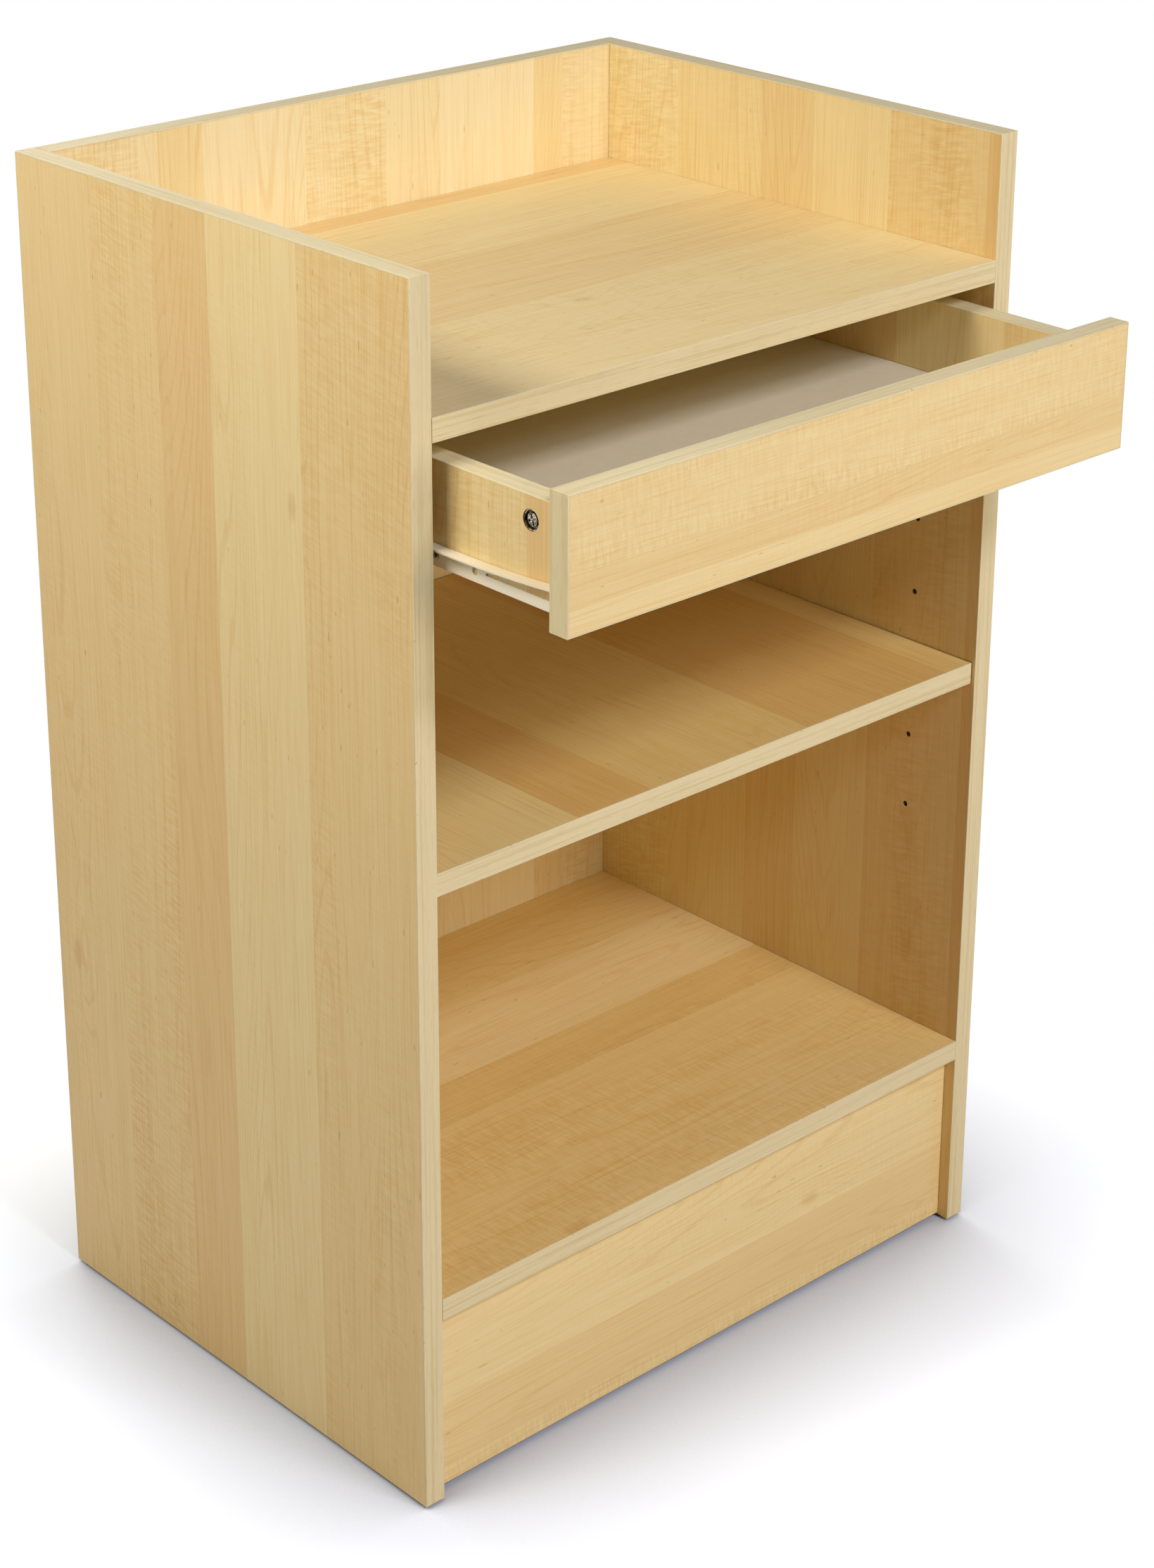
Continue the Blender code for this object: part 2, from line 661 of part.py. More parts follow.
def drawer_box(front):
    """The sides, back and floor behind the drawer front. The floor's edges lie in grooves."""
    back_y = BOX_REAR_Y - BOARD
    back = box(
        "drawer_back",
        (FIT - BOX_INNER, back_y, SIDE_BOTTOM),
        (BOX_INNER - FIT, BOX_REAR_Y, SIDE_TOP),
    )
    edge = BOX_INNER + GROOVE_DEPTH
    floor = box(
        "drawer_bottom",
        (FIT - edge, BOX_FRONT_Y - GROOVE_DEPTH + FIT, FLOOR_TOP - FLOOR_THICKNESS),
        (edge - FIT, back_y + GROOVE_DEPTH - FIT, FLOOR_TOP),
    )
    groove_low, groove_high = FLOOR_TOP - FLOOR_THICKNESS - FIT, FLOOR_TOP + FIT
    pieces = [finished(back, LAMINATE), finished(floor, LINER)]
    sides = {}
    for word, side in SIDES.items():
        low, high = sorted((side * BOX_INNER, side * BOX_OUTER))
        board = box(
            f"drawer_{word}_side",
            (low, BOX_FRONT_Y + FIT, SIDE_BOTTOM),
            (high, BOX_REAR_Y, SIDE_TOP),
        )
        groove_x = sorted((side * (BOX_INNER - OVERSHOOT), side * edge))
        groove = box(
            f"drawer_{word}_side_groove",
            (groove_x[0], BOX_FRONT_Y - OVERSHOOT, groove_low),
            (groove_x[1], BOX_REAR_Y + OVERSHOOT, groove_high),
            CUTTERS,
        )
        cut(board, groove)
        middle = (low + high) / 2
        mouth = Vector((middle, BOX_FRONT_Y, SIDE_BOTTOM + DRAWER_FRONT_DOWEL_SHARE * SIDE_HEIGHT))
        dowel_joint(board, front, f"{word}_front", [mouth], -Y)
        heights = [SIDE_BOTTOM + share * SIDE_HEIGHT for share in DRAWER_BACK_DOWEL_SHARES]
        mouths = [Vector((side * BOX_INNER, BOX_REAR_Y - BOARD / 2, z)) for z in heights]
        dowel_joint(back, board, f"{word}_back", mouths, X * side)
        mouth = Vector((middle, BOX_FRONT_Y, SIDE_TOP - DRAWER_CAM_DROP))
        pieces += cam_joint(f"drawer_{word}", board, front, mouth, Y, X * side)
        pieces.append(finished(board, LAMINATE))
        sides[word] = board
    for label, board, ends in (
        ("front", front, (BOX_FRONT_Y - GROOVE_DEPTH, BOX_FRONT_Y + OVERSHOOT)),
        ("back", back, (back_y - OVERSHOOT, back_y + GROOVE_DEPTH)),
    ):
        groove = box(
            f"drawer_{label}_groove", (-edge, ends[0], groove_low), (edge, ends[1], groove_high), CUTTERS
        )
        cut(board, groove)
    return sides, pieces


def rail_line(drop, start, end):
    """Points along the drawer rail's top flange, which climbs in a curve towards the drawer front."""
    points = []
    for step in range(RAMP_STEPS):
        share = step / RAMP_STEPS
        points.append((start + share * RAMP_LENGTH, RAIL_TOP - drop + RAMP_RISE * (1 - share) ** 2))
    points.append((start + RAMP_LENGTH, RAIL_TOP - drop))
    points.append((end, RAIL_TOP - drop))
    return points


def drawer_rail(word, side):
    """The slide's drawer member: a web on the drawer side, a flange under it and one over the roller."""
    start, end = BOX_FRONT_Y + FIT, BOX_REAR_Y
    web_bottom = RAIL_BOTTOM + STEEL / 2
    rim = [(end, web_bottom), (start, web_bottom), *rail_line(STEEL / 2, start, end)]
    slot_front, slot_rear = BOX_FRONT_Y + SLOT_END, BOX_FRONT_Y + SLOT_START
    sill = RAIL_BOTTOM + SLOT_SILL
    climb = RAMP_RISE * (1 - SLOT_END / RAMP_LENGTH) ** 2
    slot = [
        (slot_front, sill),
        (slot_rear, sill),
        (slot_rear, sill + SLOT_NOSE),
        (slot_front, RAIL_TOP + climb - STEEL - SLOT_LIP),
    ]
    middle_z = RAIL_BOTTOM + RAIL_HEIGHT / 2
    spare = circle(slot_rear + SPARE_HOLE_BEHIND_SLOT, middle_z, SPARE_HOLE_DIAMETER, SMALLEST_ROUND)
    axle = circle(DRAWER_ROLLER_Y, DRAWER_ROLLER_Z, AXLE_DIAMETER + 2 * FIT, SMALL_ROUND)
    web_middle = DRAWER_WEB + STEEL / 2
    rail = plate(f"{word}_drawer_rail", [rim, slot, spare, axle], STEEL, Y, Z, X * at(side, web_middle))
    support = across_slide(
        f"{word}_drawer_rail_support",
        side,
        (web_middle, SLIDE_GAP - FIT + SUPPORT_FLANGE),
        (start, end),
        (RAIL_BOTTOM, RAIL_BOTTOM + STEEL),
        CUTTERS,
    )
    flange_end = DRAWER_ROLLER_Y - ROLLER - 2 * RUN
    flange_outline = rail_line(0, start, flange_end) + rail_line(STEEL, start, flange_end)[::-1]
    flange_edge = CABINET_WEB + RUN
    flange = plate(
        f"{word}_drawer_rail_flange",
        [flange_outline],
        web_middle - flange_edge,
        Y,
        Z,
        X * at(side, (web_middle + flange_edge) / 2),
        CUTTERS,
    )
    join(rail, support)
    join(rail, flange)
    return finished(rail, COATED_STEEL)


def cabinet_rail(word, side):
    """The slide's cabinet member: a channel whose flanges stop short of the roller at its front end."""
    start, end = CABINET_RAIL_Y, CABINET_RAIL_Y + BOX_DEPTH
    edge = DRAWER_WEB - RUN
    bottom, top = TRACK_TOP - STEEL, TRACK_ROOF + STEEL
    channel = [
        (FIT, bottom),
        (edge, bottom),
        (edge, TRACK_TOP),
        (CABINET_WEB, TRACK_TOP),
        (CABINET_WEB, TRACK_ROOF),
        (edge, TRACK_ROOF),
        (edge, top),
        (FIT, top),
    ]
    outline = [(at(side, inward), z) for inward, z in channel]
    rail = plate(f"{word}_cabinet_rail", [outline], end - start, X, Z, Y * (start + end) / 2)
    open_roller_y = DRAWER_ROLLER_Y + DRAWER_OPEN - DRAWER_TRAVEL
    notches = (
        ("bottom", CABINET_ROLLER_Y + ROLLER + 2 * RUN, (bottom - OVERSHOOT, TRACK_TOP + OVERSHOOT)),
        ("top", open_roller_y - ROLLER - 2 * RUN, (TRACK_ROOF - OVERSHOOT, top + OVERSHOOT)),
    )
    for label, flange_start, heights in notches:
        notch = across_slide(
            f"{word}_cabinet_rail_{label}_notch",
            side,
            (CABINET_WEB, edge + OVERSHOOT),
            (start - OVERSHOOT, flange_start),
            heights,
            CUTTERS,
        )
        cut(rail, notch)
    mouth = Vector((at(side, CABINET_WEB), CABINET_ROLLER_Y, CABINET_ROLLER_Z))
    drill(rail, "axle", [mouth], X * side, AXLE_DIAMETER + 2 * FIT, STEEL + OVERSHOOT)
    return finished(rail, COATED_STEEL)


def roller_set(name, rail_back, out):
    """A roller and its axle, from the back of the rail's web outwards."""
    axle = placed(f"{name}_axle", axle_mesh(), rail_back, out, Z, ZINC)
    roller = placed(f"{name}_roller", roller_mesh(), rail_back + out * (STEEL + FIT), out, Z, NYLON)
    return axle, roller


def screw_places(x, rail_front, insets, z):
    """The places of a rail's front and rear screws, from their insets."""
    front, rear = insets
    return [Vector((x, rail_front + front, z)), Vector((x, rail_front + BOX_DEPTH - rear, z))]


def rail_screws(name, rail, board, places, out):
    """Countersunk screws through a rail's web into the board behind it."""
    made = []
    for end, place in zip(("front", "rear"), places):
        made.append(placed(f"{name}_{end}_screw", screw_mesh(), place, out, Z, ZINC))
        cutter = linked(f"{name}_{end}_screw_hole", baked(screw_shape("screw_hole", FIT, OVERSHOOT)), CUTTERS)
        cutter.matrix_world = Matrix.Translation(place) @ out.to_track_quat("Z", "Y").to_matrix().to_4x4()
        cut(rail, cutter)
        cut(board, cutter)
    return made


def slides(panels, sides):
    """Both slides: the cabinet members on the side panels, the drawer members on the drawer sides."""
    riding = []
    for word, side in SIDES.items():
        inward = X * -side
        cabinet = cabinet_rail(word, side)
        place = Vector((at(side, FIT), CABINET_ROLLER_Y, CABINET_ROLLER_Z))
        roller_set(f"{word}_cabinet", place, inward)
        face, middle = at(side, CABINET_WEB), (TRACK_TOP + TRACK_ROOF) / 2
        places = screw_places(face, CABINET_RAIL_Y, CABINET_SCREW_INSETS, middle)
        rail_screws(f"{word}_cabinet_rail", cabinet, panels[word], places, inward)

        rail = drawer_rail(word, side)
        place = Vector((at(side, SLIDE_GAP - FIT), DRAWER_ROLLER_Y, DRAWER_ROLLER_Z))
        riding += [rail, *roller_set(f"{word}_drawer", place, -inward)]
        face, middle = at(side, DRAWER_WEB), RAIL_BOTTOM + RAIL_HEIGHT / 2
        places = screw_places(face, BOX_FRONT_Y, DRAWER_SCREW_INSETS, middle)
        riding += rail_screws(f"{word}_drawer_rail", rail, sides[word], places, -inward)
    return riding


def drawer(panels):
    """The drawer, on an empty at the middle of its face."""
    carrier = bpy.data.objects.new("drawer", None)
    PARTS.objects.link(carrier)
    carrier.location = (0, DRAWER_Y, FRONT_TOP - FRONT_HEIGHT / 2)
    front, band = drawer_front()
    sides, pieces = drawer_box(front)
    for piece in (front, band, *pieces, *slides(panels, sides)):
        piece.parent = carrier
        piece.matrix_parent_inverse = Matrix.Translation(-carrier.location)


drawer(carcass())
middle_shelf()
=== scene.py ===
"""The looks of a cash wrap counter in maple laminate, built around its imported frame. Metres, +Z up."""

import math

import bmesh
import bpy
from mathutils import Matrix, Vector


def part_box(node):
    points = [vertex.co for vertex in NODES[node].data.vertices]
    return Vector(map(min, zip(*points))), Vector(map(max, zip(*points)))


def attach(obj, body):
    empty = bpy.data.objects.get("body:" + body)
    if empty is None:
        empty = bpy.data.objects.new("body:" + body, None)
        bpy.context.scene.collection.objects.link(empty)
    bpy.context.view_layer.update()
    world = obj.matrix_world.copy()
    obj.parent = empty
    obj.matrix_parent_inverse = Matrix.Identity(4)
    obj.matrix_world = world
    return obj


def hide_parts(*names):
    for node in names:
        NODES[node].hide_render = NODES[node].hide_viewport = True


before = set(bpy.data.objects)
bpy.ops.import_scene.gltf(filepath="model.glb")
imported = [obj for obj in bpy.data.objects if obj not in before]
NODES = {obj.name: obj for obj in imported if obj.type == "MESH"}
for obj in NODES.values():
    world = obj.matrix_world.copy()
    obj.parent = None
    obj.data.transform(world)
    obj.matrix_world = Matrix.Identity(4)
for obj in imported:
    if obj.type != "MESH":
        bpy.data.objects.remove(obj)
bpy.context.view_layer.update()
MM = 0.001
X, Y, Z = 0, 1, 2


def linear(code):
    """An sRGB hex colour as linear RGBA."""
    shares = [int(code[at : at + 2], 16) / 255 for at in (0, 2, 4)]
    return (*[s / 12.92 if s <= 0.04045 else ((s + 0.055) / 1.055) ** 2.4 for s in shares], 1.0)


def add(tree, kind, links=None, stops=None, **settings):
    """Adds a node with its settings. Each input gets a value, or a link from another node's output."""
    node = tree.nodes.new(kind)
    for key, value in settings.items():
        setattr(node, key, value)
    for key, value in (links or {}).items():
        if isinstance(value, bpy.types.NodeSocket):
            tree.links.new(value, node.inputs[key])
        else:
            node.inputs[key].default_value = value
    if stops:
        ramp = node.color_ramp
        ramp.interpolation = "CONSTANT"
        ramp.elements.remove(ramp.elements[1])
        ramp.elements[0].position, ramp.elements[0].color = stops[0]
        for place, colour in stops[1:]:
            ramp.elements.new(place).color = colour
    return node


def new_finish(name):
    """A new material, with its node tree and its Principled shader."""
    finish = bpy.data.materials.new(name)
    finish.use_nodes = True
    return finish, finish.node_tree, finish.node_tree.nodes["Principled BSDF"]


def dress(tree, shader, colour, rough, relief):
    """Links a finish's colour, roughness and relief to its shader."""
    tree.links.new(colour, shader.inputs["Base Color"])
    tree.links.new(rough, shader.inputs["Roughness"])
    tree.links.new(relief, shader.inputs["Normal"])


def overprint(tree, colour, layers, blend):
    """Lays tints over a colour, each where its mask is and as strong as it says."""
    for mask, strength, tint in layers:
        factor = add(tree, "ShaderNodeMath", {0: mask, 1: strength}, operation="MULTIPLY").outputs[0]
        colour = add(
            tree,
            "ShaderNodeMix",
            {"Factor": factor, "A": colour, "B": linear(tint)},
            data_type="RGBA",
            blend_type=blend,
        ).outputs["Result"]
    return colour


def put_on(piece, finish):
    """Gives a piece one finish all over."""
    piece.data.materials.clear()
    piece.data.materials.append(finish)


# Finishes of the boards


IVORY, CREAM, PALE, HONEY, TAN, AMBER = "F7EABB", "F5E7B5", "F2DFA6", "EED69B", "EACD90", "E7C787"
# The shelves' tones are more golden and brighter, partly painted light for the warm light inside the bays
GOLD, STRAW, WHEAT, OCHRE = "FAE5A5", "F7DE98", "F2D489", "EBC478"
CHIPBOARD, CHIP_DARK = "B8925E", "7C5A34"
CHIP_SIZE = 2.2 * MM
LAMINATE_SKIN = 0.3 * MM
LAMINATE_SPECULAR = 0.3

# Steps that give each board and each plank a number of its own from 0 to 1, and how far in metres that
# number moves the plank's print
BOARD_STEP, PLANK_STEP = 0.37, 0.618
PRINT_APART = (3.1, 7.3, 1.7)

# Growth lines in radians: the lines themselves, how far they waver, and how far they bend round a knot
GROWTH_PHASE = 2 * math.pi * 60
WAVER_PHASE = 3.0
KNOT_PHASE = 12.0

# A knot's width against its length, and its swirl and its dark heart against its radius
KNOT_SHAPE = 0.45
KNOT_SWIRL = 5
KNOT_HEART = 0.25

# Ripple strokes across the grain, and their slant in degrees
RIPPLE_LONG, RIPPLE_WIDE = 16 * MM, 3 * MM
RIPPLE_SLANT = {"left_side_panel": -12, "right_side_panel": 9}
USUAL_SLANT = 4

# Sizes of the maple print in mm across and along the grain, with noise detail and roughness
MAPLE_PRINT = {
    "growth": (110, 1500, 1.5, 0.45),
    "waver": (7, 160, 1.0, 0.5),
    "patch": (60, 380, 1.0, 0.5),
    "streak": (9, 420, 3.0, 0.6),
    "pore": (1.3, 90, 2.0, 0.65),
    "fleck": (2.0, 11, 0.0, 0.5),
}

# From which value of its noise a mark of the print starts to show, and from which it shows fully
MAPLE_SHOWS = {"streak": (0.3, 0.7), "pore": (0.48, 0.72), "fleck": (0.83, 0.88)}

# The same for the edge bands' print, without noise roughness
BAND_PRINT = {
    "line": (2.6, 240, 1.0),
    "tone": (12, 180, 2.0),
    "pore": (1.1, 16, 1.0),
    "chip": (9, 5, 1.0),
}
BAND_SHOWS = {"line": (0.5, 0.66), "pore": (0.55, 0.75), "chip": (0.7, 0.76)}

# How far inside a band's edge its pale border starts to show, and where it shows fully
# The pale border is partly scraped whitening and partly a painted highlight
PALE_BORDER_FROM, PALE_BORDER_TO = 1.3 * MM, 0.5 * MM


def plank_tones(tree, name, across, start, planks):
    """Each plank's tone, the strength of its ripple and a number of its own, by the place across."""
    start = start * MM
    end = planks[-1][0] * MM
    share = add(
        tree, "ShaderNodeMapRange", {"Value": across, "From Min": start, "From Max": end}
    ).outputs[0]
    edges = [0.0] + [(edge * MM - start) / (end - start) for edge, _, _ in planks[:-1]]
    seed = sum(map(ord, name)) * BOARD_STEP
    tones = [(at, linear(tone)) for at, (_, tone, _) in zip(edges, planks)]
    figures = [
        (at, (ripple, (seed + PLANK_STEP * count) % 1.0, 0.0, 1.0))
        for count, (at, (_, _, ripple)) in enumerate(zip(edges, planks))
    ]
    tone = add(tree, "ShaderNodeValToRGB", {0: share}, stops=tones).outputs[0]
    figure = add(tree, "ShaderNodeValToRGB", {0: share}, stops=figures).outputs[0]
    ripple, own, _ = add(tree, "ShaderNodeSeparateColor", {0: figure}).outputs
    return tone, ripple, own


def knot_marks(tree, grain, knots):
    """How far the growth lines bend round the knots, and how dark the knots are."""
    swirl, dark = 0.0, 0.0
    for knot_across, knot_along, radius in knots:
        flat = add(
            tree, "ShaderNodeVectorMath", {0: grain, 1: (1.0, KNOT_SHAPE, 0.0)}, operation="MULTIPLY"
        ).outputs[0]
        spot = (knot_across * MM, knot_along * MM * KNOT_SHAPE, 0.0)
        gap = add(tree, "ShaderNodeVectorMath", {0: flat, 1: spot}, operation="DISTANCE").outputs[1]
        near = add(
            tree,
            "ShaderNodeMapRange",
            {"Value": gap, "From Max": radius * KNOT_SWIRL * MM, "To Min": 1.0, "To Max": 0.0},
            interpolation_type="SMOOTHERSTEP",
        ).outputs[0]
        heart = add(
            tree,
            "ShaderNodeMapRange",
            {
                "Value": gap,
                "From Min": radius * KNOT_HEART * MM,
                "From Max": radius * MM,
                "To Min": 1.0,
                "To Max": 0.0,
            },
            interpolation_type="SMOOTHSTEP",
        ).outputs[0]
        swirl = add(tree, "ShaderNodeMath", {0: swirl, 1: near}, operation="ADD").outputs[0]
        dark = add(tree, "ShaderNodeMath", {0: dark, 1: heart}, operation="MAXIMUM").outputs[0]
    return swirl, dark


def growth_lines(tree, field, swirl):
    """Fine lines along the grain, which waver, bend round the knots and fade in patches."""
    phase = add(
        tree, "ShaderNodeMath", {0: field["growth"], 1: GROWTH_PHASE}, operation="MULTIPLY"
    ).outputs[0]
    for bend, radians in ((field["waver"], WAVER_PHASE), (swirl, KNOT_PHASE)):
        phase = add(
            tree, "ShaderNodeMath", {0: bend, 1: radians, 2: phase}, operation="MULTIPLY_ADD"
        ).outputs[0]
    wave = add(tree, "ShaderNodeMath", {0: phase}, operation="SINE").outputs[0]
    line = add(
        tree, "ShaderNodeMapRange", {"Value": wave, "From Min": 0.6}, interpolation_type="SMOOTHSTEP"
    ).outputs[0]
    shown = add(
        tree,
        "ShaderNodeMapRange",
        {"Value": field["patch"], "From Min": 0.35, "From Max": 0.65, "To Min": 0.25},
    ).outputs[0]
    return add(tree, "ShaderNodeMath", {0: line, 1: shown}, operation="MULTIPLY").outputs[0]


def ripple_strokes(tree, name, board, strength, patch):
    """Short strokes across the grain, as strong as the plank's ripple, which fade in patches."""
    slant = math.radians(RIPPLE_SLANT.get(name, USUAL_SLANT))
    slanted = add(tree, "ShaderNodeMapping", {"Vector": board, "Rotation": (0.0, 0.0, slant)}).outputs[0]
    sized = add(
        tree,
        "ShaderNodeVectorMath",
        {0: slanted, 1: (1 / RIPPLE_LONG, 1 / RIPPLE_WIDE, 1 / RIPPLE_LONG)},
        operation="MULTIPLY",
    ).outputs[0]
    stroke = add(
        tree,
        "ShaderNodeTexNoise",
        {"Vector": sized, "Scale": 1.0, "Detail": 2.0, "Roughness": 0.5, "Distortion": 0.5},
    ).outputs[0]
    stroke = add(
        tree, "ShaderNodeMapRange", {"Value": stroke, "From Min": 0.35, "From Max": 0.65}
    ).outputs[0]
    stroke = add(tree, "ShaderNodeMath", {0: stroke, 1: strength}, operation="MULTIPLY").outputs[0]
    curled = add(
        tree,
        "ShaderNodeMapRange",
        {"Value": patch, "From Min": 0.4, "From Max": 0.6, "To Min": 0.35},
    ).outputs[0]
    return add(tree, "ShaderNodeMath", {0: stroke, 1: curled}, operation="MULTIPLY").outputs[0]


def chipboard_core(tree, colour, place, depth, low, high):
    """Shows chips in place of the colour between the skins of a board's two faces."""
    off = add(tree, "ShaderNodeMath", {0: depth, 1: (low + high) / 2}, operation="SUBTRACT").outputs[0]
    off = add(tree, "ShaderNodeMath", {0: off}, operation="ABSOLUTE").outputs[0]
    inside = add(
        tree, "ShaderNodeMath", {0: off, 1: (high - low) / 2 - LAMINATE_SKIN}, operation="LESS_THAN"
    ).outputs[0]
    chips = add(
        tree, "ShaderNodeTexNoise", {"Vector": place, "Scale": 1 / CHIP_SIZE, "Detail": 2.0}
    ).outputs[0]
    chip = add(
        tree,
        "ShaderNodeMix",
        {"Factor": chips, "A": linear(CHIP_DARK), "B": linear(CHIPBOARD)},
        data_type="RGBA",
    ).outputs["Result"]
    return add(
        tree, "ShaderNodeMix", {"Factor": inside, "A": colour, "B": chip}, data_type="RGBA"
    ).outputs["Result"]


def maple_melamine(name, along, across, start, planks, knots):
    """A board's finish: its grain direction, its planks and its knots are the board's own."""
    # Melamine-faced chipboard, printed with maple and pressed in a satin plate: planks of differing tone
    # side by side, each with fine darker growth lines and pores along the grain and, on some, a soft
    # ripple across it, under a low even sheen. The walls of holes show the coarse brown core.
    # Real pores are about 0.5 mm wide, and are drawn coarser here so that they show.
    finish, tree, shader = new_finish(f"pressed maple melamine {name}")
    deep = X + Y + Z - along - across
    low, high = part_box(name)
    place = add(tree, "ShaderNodeTexCoord").outputs["Object"]
    axes = add(tree, "ShaderNodeSeparateXYZ", {0: place}).outputs
    tone, ripple, own = plank_tones(tree, name, axes[across], start, planks)
    grain = add(
        tree, "ShaderNodeCombineXYZ", {0: axes[across], 1: axes[along], 2: axes[deep]}
    ).outputs[0]
    away = add(tree, "ShaderNodeCombineXYZ", {0: own, 1: own, 2: own}).outputs[0]
    apart = add(tree, "ShaderNodeVectorMath", {0: away, 1: PRINT_APART}, operation="MULTIPLY").outputs[0]
    board = add(tree, "ShaderNodeVectorMath", {0: grain, 1: apart}, operation="ADD").outputs[0]

    field = {}
    for label, (wide, long, detail, rough) in MAPLE_PRINT.items():
        sized = add(
            tree,
            "ShaderNodeVectorMath",
            {0: board, 1: (1 / (wide * MM), 1 / (long * MM), 1 / (wide * MM))},
            operation="MULTIPLY",
        ).outputs[0]
        field[label] = add(
            tree,
            "ShaderNodeTexNoise",
            {"Vector": sized, "Scale": 1.0, "Detail": detail, "Roughness": rough},
        ).outputs[0]
    mark = {}
    for label, (starts, full) in MAPLE_SHOWS.items():
        mark[label] = add(
            tree, "ShaderNodeMapRange", {"Value": field[label], "From Min": starts, "From Max": full}
        ).outputs[0]

    swirl, knot = knot_marks(tree, grain, knots)
    line = growth_lines(tree, field, swirl)
    stroke = ripple_strokes(tree, name, board, ripple, field["patch"])
    layers = [
        (mark["streak"], 0.5, "F9F1E4"),
        (line, 0.32, "F0DFC2"),
        (mark["pore"], 0.6, "F3E8D5"),
        (stroke, 0.95, "F5EAD6"),
        (mark["fleck"], 0.45, "C9A878"),
        (knot, 0.3, "D2AC78"),
    ]
    colour = overprint(tree, tone, layers, "MULTIPLY")
    colour = chipboard_core(tree, colour, place, axes[deep], low[deep], high[deep])
    rough = add(
        tree, "ShaderNodeMapRange", {"Value": mark["pore"], "To Min": 0.40, "To Max": 0.52}
    ).outputs[0]
    relief = add(
        tree,
        "ShaderNodeBump",
        {"Strength": 0.25, "Distance": 0.05 * MM, "Height": mark["pore"]},
        invert=True,
    ).outputs[0]
    dress(tree, shader, colour, rough, relief)
    shader.inputs["Specular IOR Level"].default_value = LAMINATE_SPECULAR
    return finish


def maple_edge_band(name, across, low, high):
    """An edge band's finish, from the direction across it and the corners of its box."""
    # PVC edge band, extruded, printed with maple and scraped flush: paler and greyer than the boards,
    # with straight khaki lines along it, a pale line at each border that is partly scraped whitening and
    # partly a painted highlight, and a few dark chips there
    finish, tree, shader = new_finish(f"extruded maple PVC {name}")
    place = add(tree, "ShaderNodeTexCoord").outputs["Object"]
    axes = add(tree, "ShaderNodeSeparateXYZ", {0: place}).outputs
    others = [axis for axis in (X, Y, Z) if axis != across]
    along = add(
        tree, "ShaderNodeMath", {0: axes[others[0]], 1: axes[others[1]]}, operation="ADD"
    ).outputs[0]
    strip = add(tree, "ShaderNodeCombineXYZ", {0: axes[across], 1: along, 2: 0.0}).outputs[0]
    field = {}
    for label, (wide, long, detail) in BAND_PRINT.items():
        sized = add(
            tree,
            "ShaderNodeVectorMath",
            {0: strip, 1: (1 / (wide * MM), 1 / (long * MM), 0.0)},
            operation="MULTIPLY",
        ).outputs[0]
        field[label] = add(
            tree, "ShaderNodeTexNoise", {"Vector": sized, "Scale": 1.0, "Detail": detail}
        ).outputs[0]
    mark = {}
    for label, (starts, full) in BAND_SHOWS.items():
        mark[label] = add(
            tree, "ShaderNodeMapRange", {"Value": field[label], "From Min": starts, "From Max": full}
        ).outputs[0]

    middle = (low[across] + high[across]) / 2
    half = (high[across] - low[across]) / 2
    off = add(tree, "ShaderNodeMath", {0: axes[across], 1: middle}, operation="SUBTRACT").outputs[0]
    off = add(tree, "ShaderNodeMath", {0: off}, operation="ABSOLUTE").outputs[0]
    border = add(
        tree,
        "ShaderNodeMapRange",
        {"Value": off, "From Min": half - PALE_BORDER_FROM, "From Max": half - PALE_BORDER_TO},
    ).outputs[0]
    chip = add(tree, "ShaderNodeMath", {0: border, 1: mark["chip"]}, operation="MULTIPLY").outputs[0]
    colour = add(
        tree,
        "ShaderNodeMix",
        {"Factor": field["tone"], "A": linear("E2D4A5"), "B": linear("EBDFB3")},
        data_type="RGBA",
    ).outputs["Result"]
    printed = [(mark["line"], 0.35, "E0D3B4"), (mark["pore"], 0.35, "E8DCC4")]
    # The pale border line is partly scraped whitening and partly a painted highlight; the chips are wear
    scraped_wear_and_highlight = [(border, 0.12, "F0E8CC"), (chip, 0.45, "8A6A3E")]
    colour = overprint(tree, colour, printed, "MULTIPLY")
    colour = overprint(tree, colour, scraped_wear_and_highlight, "MIX")
    rough = add(
        tree, "ShaderNodeMapRange", {"Value": mark["line"], "To Min": 0.46, "To Max": 0.58}
    ).outputs[0]
    relief = add(
        tree,
        "ShaderNodeBump",
        {"Strength": 0.2, "Distance": 0.05 * MM, "Height": mark["pore"]},
        invert=True,
    ).outputs[0]
    dress(tree, shader, colour, rough, relief)
    shader.inputs["Specular IOR Level"].default_value = LAMINATE_SPECULAR
    return finish


def lacquered_hardboard():
    # Hardboard, pressed and roller-lacquered: pale grey-beige and matt, with a faint mottle of fibres
    # under the lacquer
    finish, tree, shader = new_finish("lacquered hardboard")
    place = add(tree, "ShaderNodeTexCoord").outputs["Object"]
    mottle = add(
        tree,
        "ShaderNodeTexNoise",
        {"Vector": place, "Scale": 1 / (6 * MM), "Detail": 4.0, "Roughness": 0.7},
    ).outputs[0]
    colour = add(
        tree,
        "ShaderNodeMix",
        {"Factor": mottle, "A": linear("F0E6C6"), "B": linear("F9F2D5")},
        data_type="RGBA",
    ).outputs["Result"]
    rough = add(
        tree,
        "ShaderNodeMapRange",
        {"Value": mottle, "From Min": 0.3, "From Max": 0.7, "To Min": 0.55, "To Max": 0.7},
    ).outputs[0]
    relief = add(
        tree, "ShaderNodeBump", {"Strength": 0.15, "Distance": 0.1 * MM, "Height": mottle}
    ).outputs[0]
    dress(tree, shader, colour, rough, relief)
    return finish


# Finishes of the hardware


HOLLOW_SAMPLES = 8


